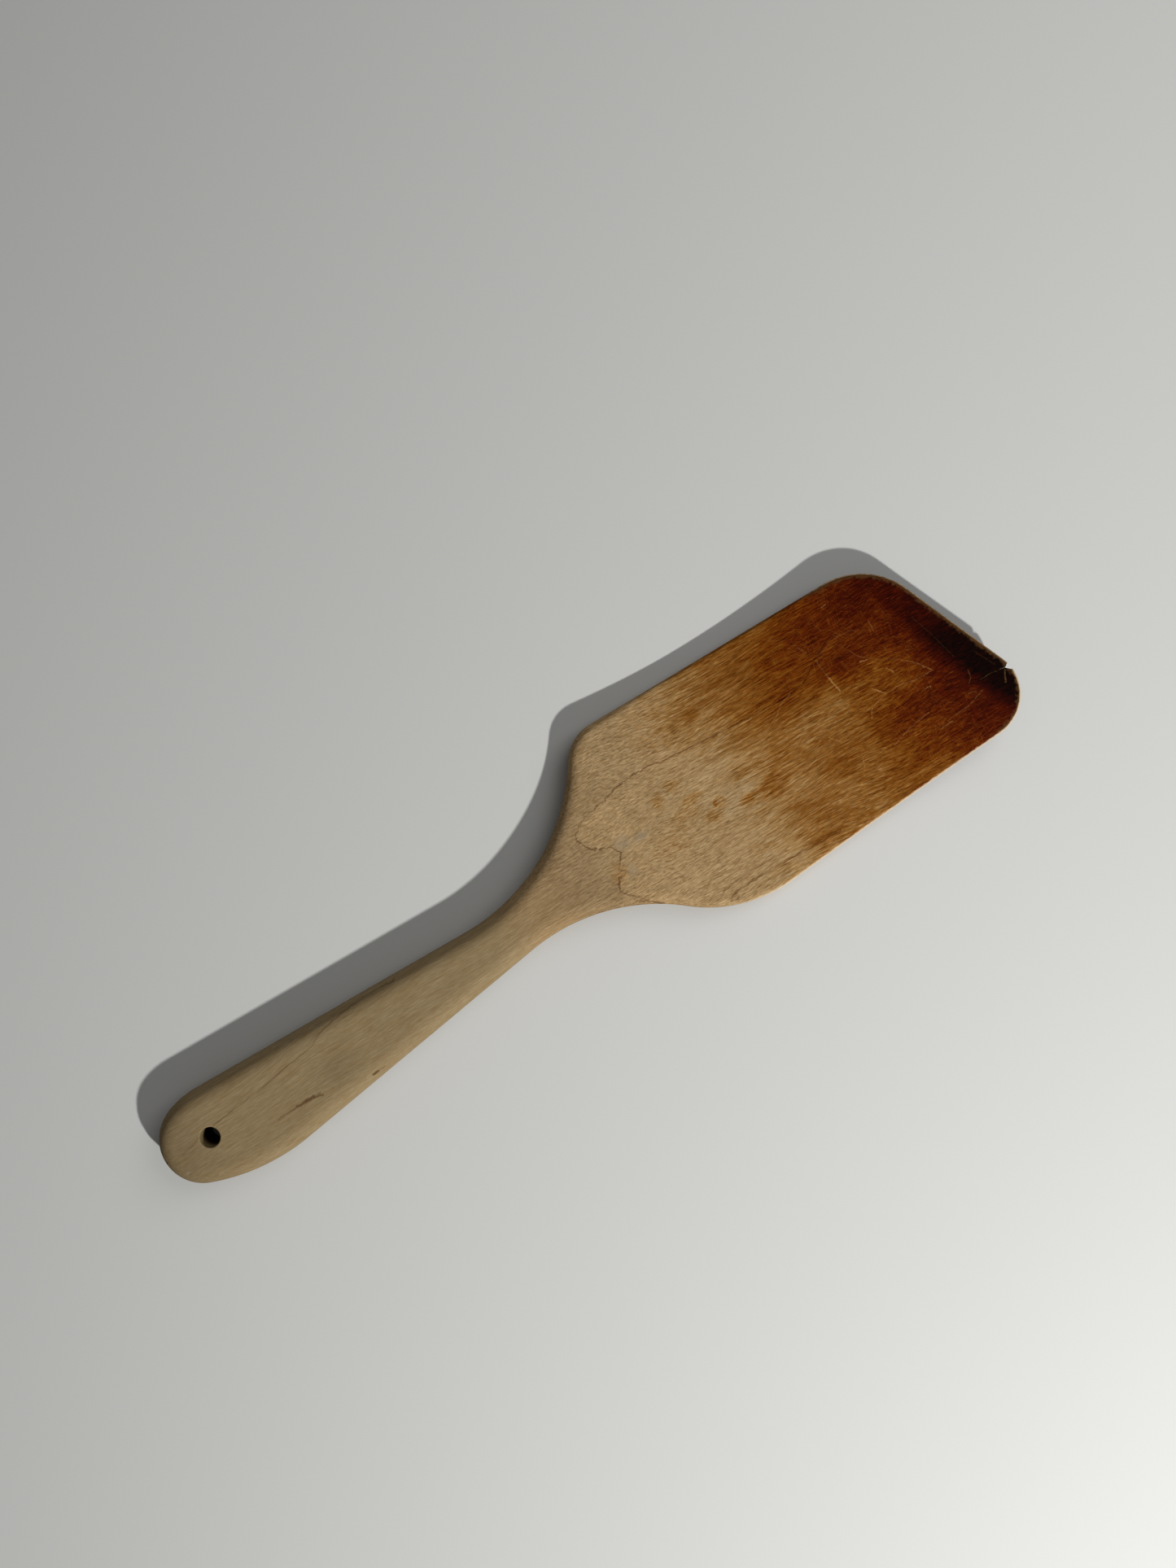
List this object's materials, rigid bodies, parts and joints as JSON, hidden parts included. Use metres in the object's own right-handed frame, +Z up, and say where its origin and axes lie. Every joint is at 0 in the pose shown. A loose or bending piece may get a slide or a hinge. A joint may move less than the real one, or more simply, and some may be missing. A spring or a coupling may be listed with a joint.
{
  "type": "wooden kitchen turner",
  "caption": "Flat wooden turner carved from a single board: thick handle with a hanging hole, slim neck, and a wide thin blade with a slanted, upturned tip.",
  "frame": {"origin": "on the axis of the hanging hole, on the underside that rests on the table", "axes": "+X along the board from the handle to the tip, +Y to the left of someone holding the handle, +Z up out of the upper face, along the hanging hole"},
  "size_m": [0.305, 0.0766, 0.0127],
  "materials": {
    "wood": "bare, sanded, browned and scorched towards the tip"
  },
  "bodies": {
    "root": {"turner": "wood"}
  },
  "joints": []
}
